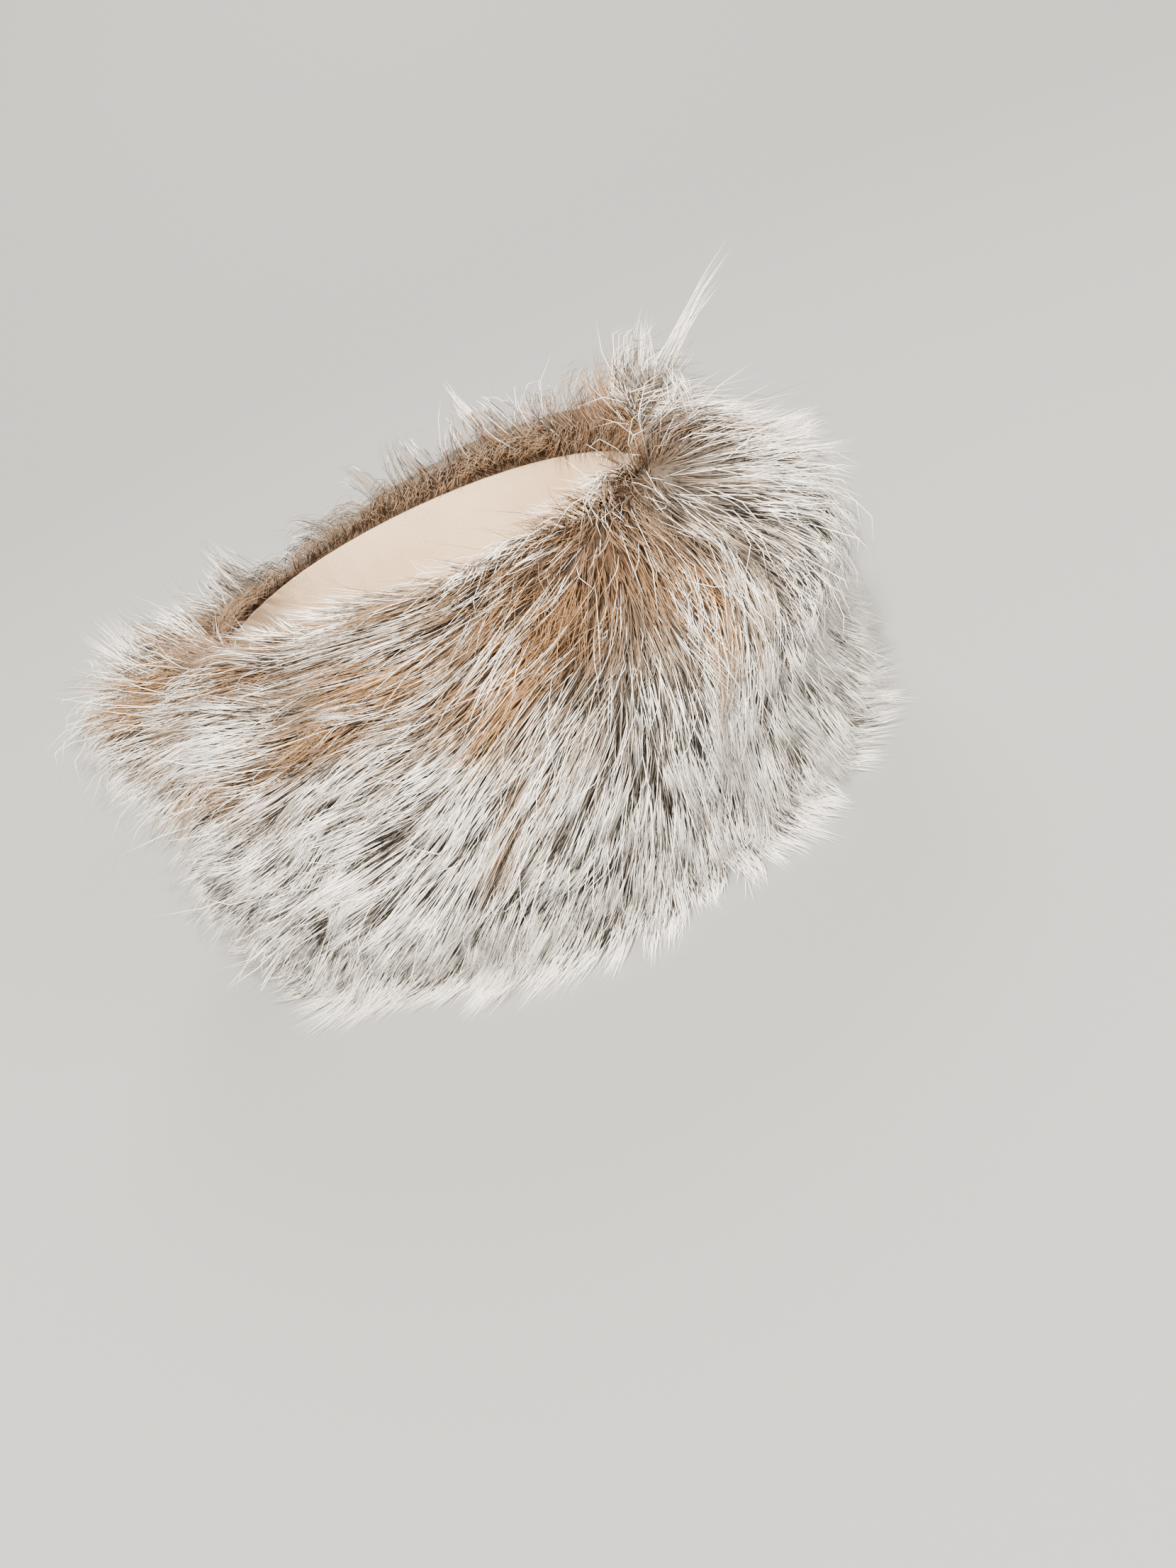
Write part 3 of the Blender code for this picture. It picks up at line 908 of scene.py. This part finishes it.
def hideMaterial():
    # Tanned skin side with a soft nap
    material, tree, shader = newMaterial("tannedHide", hideLook["roughness"])
    place = addNode(tree, "ShaderNodeTexCoord").outputs["Object"]
    cloudInputs = {"Vector": place, "Scale": hideLook["clouds"], "Detail": 4.0}
    clouds = addNode(tree, "ShaderNodeTexNoise", cloudInputs).outputs[0]
    napInputs = {"Vector": place, "Scale": hideLook["nap"], "Detail": 2.0}
    nap = addNode(tree, "ShaderNodeTexNoise", napInputs).outputs[0]
    found = ramp(tree, clouds, ((0.3, hideLook["dark"]), (0.7, hideLook["pale"])))
    tree.links.new(found, shader.inputs["Base Color"])
    strength, height = hideLook["napStrength"], hideLook["napHeight"]
    bumpInputs = {"Strength": strength, "Distance": height, "Height": nap}
    bump = addNode(tree, "ShaderNodeBump", bumpInputs)
    tree.links.new(bump.outputs[0], shader.inputs["Normal"])
    return material


guardHair = guardMaterial(guardLook)
paleHair = guardMaterial(paleLook)
softWool = woolMaterial()
denseWool = bodyMaterial()
tannedHide = hideMaterial()
print("materials built")


def finishPiece(piece, replacing=()):
    for node in replacing:
        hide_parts(node)
    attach(piece, "root")


woolBody = {
    "depth": 0.80,  # of the way out from the hide to the coat's outer face
    "stations": 180,
    "steps": 46,
    "lumps": 0.0012,
    "lumpWaves": ((41, 0.21), (-17, 0.37)),  # radians for each share down and each degree round
    "gap": 0.0006,  # between the wool and the hide
}


def buildWoolBody():
    # The dense wool round the hide, closed all round, which the strands stand in
    stations = woolBody["stations"]
    steps = woolBody["steps"]
    share = np.linspace(0, 1, steps)
    rings = []
    tones = []
    for station in np.arange(stations) * 360 / stations:
        here = np.full(steps, station)
        outer = coatPoints(here, share, woolBody["depth"])
        lumps = np.ones(steps)
        for perShare, perDegree in woolBody["lumpWaves"]:
            lumps = lumps * np.sin(share * perShare + station * perDegree)
        swell = woolBody["lumps"] * lumps * np.sin(np.pi * share)
        outer += coatFrame(here, share)[2] * swell[:, None]
        outer[:, 2] = np.maximum(outer[:, 2], coatShape["lowest"])
        top = ovalPoints(here[:1], woolBody["gap"], np.array([hideTop]))
        low = ovalPoints(here[:1], woolBody["gap"], np.array([hideLift]))
        rings.append(np.concatenate([top, outer[1:], low]))
        tone = patchValues(here, share)[0]
        tones.append(np.concatenate([tone, tone[-1:]]))
    count = len(rings[0])
    faces = gridFaces(stations, count, True)
    for i in range(stations):
        a = i * count
        b = (i + 1) % stations * count
        faces.append((a + count - 1, a, b, b + count - 1))
    body = meshObject("woolBody", np.concatenate(rings), faces)
    pointAttribute(body, "woolTone", "FLOAT", np.concatenate(tones))
    mesh = bmesh.new()
    mesh.from_mesh(body.data)
    bmesh.ops.recalc_face_normals(mesh, faces=mesh.faces)
    mesh.to_mesh(body.data)
    mesh.free()
    body.data.shade_smooth()
    body.data.materials.append(denseWool)
    finishPiece(body, ["fur_coat"])
    print("wool body built")


guardStrands = {
    "form": {
        "fromShare": 0.03,
        "toShare": 0.97,
        "length": 0.045,
        "fan": 0.25,
        "rootDepth": 0.78,
        "midDepth": 0.90,
        "crestDepth": 0.10,
        "tipDepth": 1.0,
        "tipLift": 0.002,
        "fluff": 1.0,
        "lean": 0.0,
        "bareCover": 0.0,
        "fullCover": 1.0,
    },
    "strands": {
        "Clump Pull": 0.70,
        "Spread": 0.0046,
        "Lift": 0.010,
        "Width": 0.00029,
        "Shortest": 0.70,
        "Longest": 1.12,
        "Segments": 3,
    },
    # From angle, to angle, and strands and clumps for each square metre
    "sectors": (
        (-180, -138, 520000.0, 10000.0),
        (-138, -104, 600000.0, 19000.0),
        (-104, -72, 600000.0, 19000.0),
        (-72, -34, 590000.0, 19000.0),
        (-34, 20, 450000.0, 16000.0),
        (20, 100, 250000.0, 14000.0),
        (100, 180, 285000.0, 10000.0),
    ),
}


def growGuardHair():
    for number, (start, end, density, clumps) in enumerate(guardStrands["sectors"]):
        surface = growthSurface(guardStrands["form"], start, end)
        values = dict(guardStrands["strands"], Density=density, Seed=11 + 20 * number)
        values["Clump Density"] = clumps
        piece = growStrands(f"guardHair{number + 1}", surface, guardHair, values)
        finishPiece(piece)


woolStrands = {
    "form": {
        "fromShare": 0.0,
        "toShare": 0.97,
        "length": 0.030,
        "fan": 0.0,
        "rootDepth": 0.78,
        "midDepth": 0.86,
        "crestDepth": 0.0,
        "tipDepth": 0.93,
        "tipLift": 0.0,
        "fluff": 0.3,
        "lean": 0.0,
        "bareCover": 1.6,
        "fullCover": 0.7,
    },
    "strands": {
        "Density": 150000.0,
        "Clump Density": 9000.0,
        "Clump Pull": 0.6,
        "Spread": 0.004,
        "Lift": 0.002,
        "Width": 0.00042,
        "Shortest": 0.6,
        "Longest": 1.1,
        "Segments": 2,
    },
    "sectors": ((-180, -60), (-60, 60), (60, 180)),
}


def growSoftWool():
    for number, (start, end) in enumerate(woolStrands["sectors"]):
        surface = growthSurface(woolStrands["form"], start, end)
        values = dict(woolStrands["strands"], Seed=311 + 20 * number)
        piece = growStrands(f"softWool{number + 1}", surface, softWool, values)
        finishPiece(piece)


rimWool = {
    "form": {
        "fromShare": 0.0,
        "toShare": 0.09,
        "length": 0.020,
        "fan": 0.0,
        "rootDepth": 0.80,
        "midDepth": 1.0,
        "crestDepth": 0.0,
        "tipDepth": 1.0,
        "tipLift": 0.0,
        "fluff": 0.0,
        "lean": 0.016,
        "bareCover": 1.0,
        "fullCover": 1.0,
    },
    "strands": {
        "Density": 700000.0,
        "Clump Density": 60000.0,
        "Clump Pull": 0.15,
        "Lock Sway": 0.004,
        "Spread": 0.005,
        "Lift": 0.003,
        "Width": 0.00036,
        "Shortest": 0.5,
        "Longest": 1.1,
        "Segments": 2,
        "Seed": 511,
    },
}


def growRimWool():
    surface = growthSurface(rimWool["form"], -180, 180)
    piece = growStrands("rimWool", surface, softWool, rimWool["strands"])
    finishPiece(piece)


flyaways = {
    "form": {
        "fromShare": 0.05,
        "toShare": 0.80,
        "length": 0.046,
        "fan": 0.0,
        "rootDepth": 0.80,
        "midDepth": 1.0,
        "crestDepth": 0.0,
        "tipDepth": 1.02,
        "tipLift": 0.004,
        "fluff": 0.8,
        "lean": 0.0,
        "bareCover": 2.6,
        "fullCover": 0.5,
    },
    "strands": {
        "Density": 38000.0,
        "Clump Density": 2000.0,
        "Clump Pull": 0.0,
        "Spread": 0.013,
        "Lift": 0.006,
        "Width": 0.00027,
        "Shortest": 0.7,
        "Longest": 1.15,
        "Segments": 3,
        "Seed": 611,
    },
}


def growFlyaways():
    surface = growthSurface(flyaways["form"], -180, 180)
    piece = growStrands("flyawayHair", surface, paleHair, flyaways["strands"])
    finishPiece(piece)


strayLocks = {
    # Angle, share down, length, width, cover, and the direction of the tip
    "locks": (
        (-4, 0.22, 0.058, 0.006, 0.7, (0.78, 0.10, 0.60)),
        (10, 0.24, 0.027, 0.016, 0.16, (0.35, 0.20, 0.90)),
        (-22, 0.24, 0.024, 0.016, 0.16, (0.20, -0.30, 0.90)),
        (-9, 0.42, 0.034, 0.018, 0.7, (1.00, -0.05, 0.05)),
        (64, 0.18, 0.028, 0.008, 0.3, (-0.35, 0.55, 0.75)),
    ),
    "rootDepth": 0.90,
    "bow": 0.12,  # how far a lock bows up, as a share of its length
    "taper": 0.8,  # 0 keeps a lock's width, 1 brings its tips to a point
    "tone": 0.95,
    "strands": {
        "Density": 900000.0,
        "Clump Density": 60000.0,
        "Clump Pull": 0.25,
        "Lock Sway": 0.004,
        "Spread": 0.0040,
        "Lift": 0.0,
        "Width": 0.00030,
        "Shortest": 0.45,
        "Longest": 1.08,
        "Segments": 3,
        "Seed": 811,
    },
}


def growStrayLocks():
    # Small tufts that leave the lay of the coat, each grown on its own small square
    points = []
    faces = []
    data = {"midOffset": [], "tipOffset": [], "outward": [], "tone": [], "cover": []}
    for angle, share, length, width, cover, direction in strayLocks["locks"]:
        here = np.array([float(angle)])
        down = np.array([share])
        around, below, out = coatFrame(here, down)
        wide = width / 2 / np.linalg.norm(around)
        tall = width / 2 / np.linalg.norm(below)
        across, along = np.array([(-1, -1), (-1, 1), (1, -1), (1, 1)]).T
        place = coatPoints(angle + across * wide, share + along * tall, strayLocks["rootDepth"])
        centre = place.mean(axis=0)
        towards = unit(np.array([direction], float))[0] * length
        tip = towards - (place - centre) * strayLocks["taper"]
        bow = np.array([0, 0, strayLocks["bow"] * length])
        faces.extend(tuple(len(points) + k for k in face) for face in gridFaces(2, 2, False))
        points.extend(place)
        data["tipOffset"].extend(tip)
        data["midOffset"].extend(tip / 2 + bow)
        data["outward"].extend([out[0]] * 4)
        data["tone"].extend([strayLocks["tone"]] * 4)
        data["cover"].extend([cover] * 4)
    surface = meshObject("growth", points, faces)
    for key, values in data.items():
        kind = "FLOAT" if key in ("tone", "cover") else "FLOAT_VECTOR"
        pointAttribute(surface, key, kind, values)
    piece = growStrands("strayLocks", surface, paleHair, strayLocks["strands"])
    finishPiece(piece)


buildWoolBody()
growGuardHair()
growSoftWool()
growRimWool()
growFlyaways()
growStrayLocks()

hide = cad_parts["hide_band"]
hide.data.materials.clear()
hide.data.materials.append(tannedHide)
print("hide dressed")

studio = {
    "floorRadius": 1.4,
    "wallRadius": 5.4,
    "wallHeight": 4.0,
    "floorColour": (0.215, 0.212, 0.207, 1),
    "floorRoughness": 0.9,
    "skyColour": (1.0, 0.99, 0.97, 1),
    "skyStrength": 0.36,
    "lightColour": (1.0, 0.955, 0.885),
    "lights": (
        ("keyLight", (-1.1, -4.0, 4.2), 1.0, 2400.0),
        ("fillLight", (2.85, -1.95, 2.1), 2.0, 115.0),
        ("backLight", (0.6, 3.4, 3.4), 2.2, 310.0),
    ),
}


def buildFloor():
    # A pale floor that curves up into a wall all round, so that no horizon shows
    stations = 64
    steps = 16
    turn = np.linspace(0, math.pi / 2, steps)
    radii = studio["floorRadius"] + (studio["wallRadius"] - studio["floorRadius"]) * np.sin(turn)
    heights = (studio["wallRadius"] - studio["floorRadius"]) * (1 - np.cos(turn))
    radii = np.concatenate([radii, [studio["wallRadius"]]])
    heights = np.concatenate([heights, [studio["wallHeight"]]])
    points = []
    for station in np.arange(stations) * 2 * math.pi / stations:
        for radius, height in zip(radii, heights):
            points.append((radius * math.cos(station), radius * math.sin(station), height))
    count = len(radii)
    faces = [tuple(i * count for i in range(stations))] + gridFaces(stations, count, True)
    floor = meshObject("studioFloor", points, faces)
    floor.data.shade_smooth()
    material, _, shader = newMaterial("paleFloor", studio["floorRoughness"])
    shader.inputs["Base Color"].default_value = studio["floorColour"]
    floor.data.materials.append(material)


def addLight(name, place, size, power):
    data = bpy.data.lights.new(name, "AREA")
    data.shape = "DISK"
    data.size = size
    data.energy = power
    data.color = studio["lightColour"]
    lamp = bpy.data.objects.new(name, data)
    lamp.location = place
    lamp.rotation_euler = (middle - Vector(place)).to_track_quat("-Z", "Y").to_euler()
    bpy.context.scene.collection.objects.link(lamp)


photoView = {
    "lens": 27.0,
    "sensor": 36.0,
    "back": 0.4617,
    "height": 0.2576,
    "right": (0.9005, -0.2417, -0.3616),
    "up": (0.4337, 0.4377, 0.7876),
}


def buildCamera():
    # The photograph's view: a little above the band and leaning
    right = Vector(photoView["right"])
    up = Vector(photoView["up"])
    place = Vector((middle.x, middle.y - photoView["back"], photoView["height"]))
    data = bpy.data.cameras.new("camera")
    data.lens = photoView["lens"]
    data.sensor_width = photoView["sensor"]
    camera = bpy.data.objects.new("camera", data)
    turn = Matrix((right, up, right.cross(up))).transposed().to_4x4()
    camera.matrix_world = Matrix.Translation(place) @ turn
    bpy.context.scene.collection.objects.link(camera)
    bpy.context.scene.camera = camera


buildFloor()
for light in studio["lights"]:
    addLight(*light)
world = bpy.data.worlds.new("studio")
world.use_nodes = True
world.node_tree.nodes["Background"].inputs[0].default_value = studio["skyColour"]
world.node_tree.nodes["Background"].inputs[1].default_value = studio["skyStrength"]
bpy.context.scene.world = world
buildCamera()
print("stage built")
